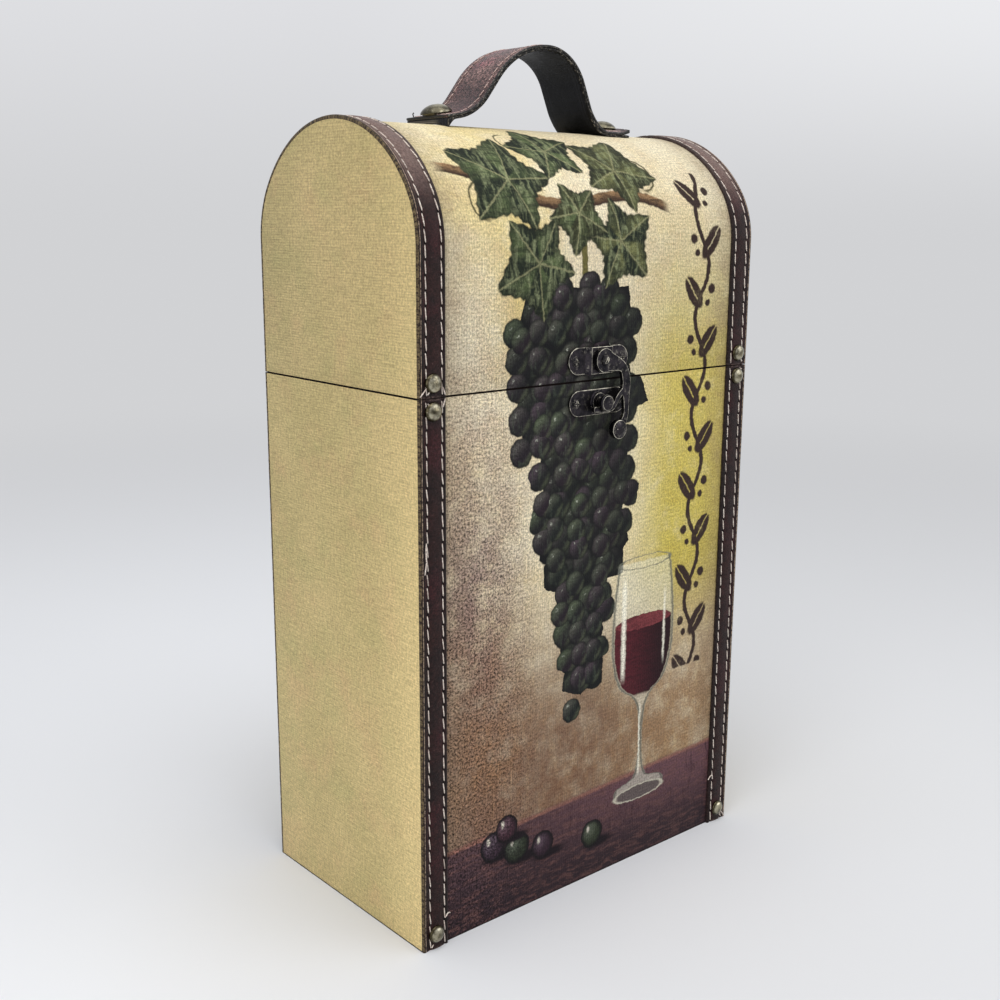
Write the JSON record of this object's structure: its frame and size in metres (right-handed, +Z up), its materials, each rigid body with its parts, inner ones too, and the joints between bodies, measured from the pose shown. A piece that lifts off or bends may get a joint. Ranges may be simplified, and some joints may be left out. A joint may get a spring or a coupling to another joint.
{
  "type": "two-bottle carrying box",
  "caption": "Upright cloth-covered box for two bottles, with an arched lid hinged behind, a hook latch, stitched trims with dome nails and a riveted strap handle.",
  "frame": {"origin": "middle of the underside of the base", "axes": "+Z up, the latched printed front faces -Y, +X to the right as seen from the front"},
  "size_m": [0.2, 0.127, 0.3848],
  "materials": {
    "fibreboard": "raw medium-density fibreboard, matt",
    "plain_cloth": "woven beige bookbinding cloth with a fine slub",
    "printed_canvas": "printed cotton canvas, cream with a painted still life, matt",
    "lining": "dark brown flocked lining paper",
    "lining_board": "thin board covered in the lining paper",
    "base_cover": "dark brown base paper",
    "trim_leather": "dark burgundy-brown imitation leather with cream stitching, satin",
    "strap_leather": "burgundy-brown imitation leather with cream stitching, satin",
    "strap_backing": "smooth black imitation leather",
    "aged_brass": "antiqued brass, darkened and worn on the high spots",
    "latch_bronze": "dark antiqued bronze with bright worn edges"
  },
  "bodies": {
    "body": {"base_cover": "base_cover", "bottom_board": "fibreboard", "body_front_board": "fibreboard", "body_back_board": "fibreboard", "body_left_board": "fibreboard", "body_right_board": "fibreboard", "body_lining": "lining", "bottle_divider": "lining_board", "body_front_canvas": "printed_canvas", "body_back_cloth": "plain_cloth", "body_left_cloth": "plain_cloth", "body_right_cloth": "plain_cloth", "body_trim_front_left": "trim_leather", "body_trim_front_right": "trim_leather", "body_trim_back_left": "trim_leather", "body_trim_back_right": "trim_leather", "body_trim_nails": "aged_brass", "catch_plate": "latch_bronze", "catch_stud": "latch_bronze", "catch_screws": "latch_bronze", "hinge_body_leaves": "aged_brass", "hinge_pins": "aged_brass", "hinge_body_screws": "aged_brass"},
    "lid": {"lid_left_board": "fibreboard", "lid_right_board": "fibreboard", "lid_front_board": "fibreboard", "lid_back_board": "fibreboard", "lid_dome_board": "fibreboard", "lid_lining": "lining", "lid_canvas": "printed_canvas", "lid_left_cloth": "plain_cloth", "lid_right_cloth": "plain_cloth", "lid_trim_left": "trim_leather", "lid_trim_right": "trim_leather", "lid_trim_nails": "aged_brass", "latch_plate": "latch_bronze", "latch_pivot_rivet": "latch_bronze", "latch_screws": "latch_bronze", "hinge_lid_leaves": "aged_brass", "hinge_lid_screws": "aged_brass", "handle_strap": "strap_leather", "handle_backing": "strap_backing", "handle_rivets": "aged_brass", "handle_washers": "aged_brass"},
    "hook": {"latch_hook": "latch_bronze"}
  },
  "joints": [
    {"name": "lid_hinge", "type": "hinge", "parent": "body", "child": "lid", "pos_m": [0, 0.0599, 0.2402], "axis": [-1, 0, 0], "range_deg": [0, 135]},
    {"name": "hook_swing", "type": "hinge", "parent": "lid", "child": "hook", "pos_m": [-0.0012, -0.0604, 0.2492], "axis": [0, -1, 0], "range_deg": [0, 170]}
  ]
}
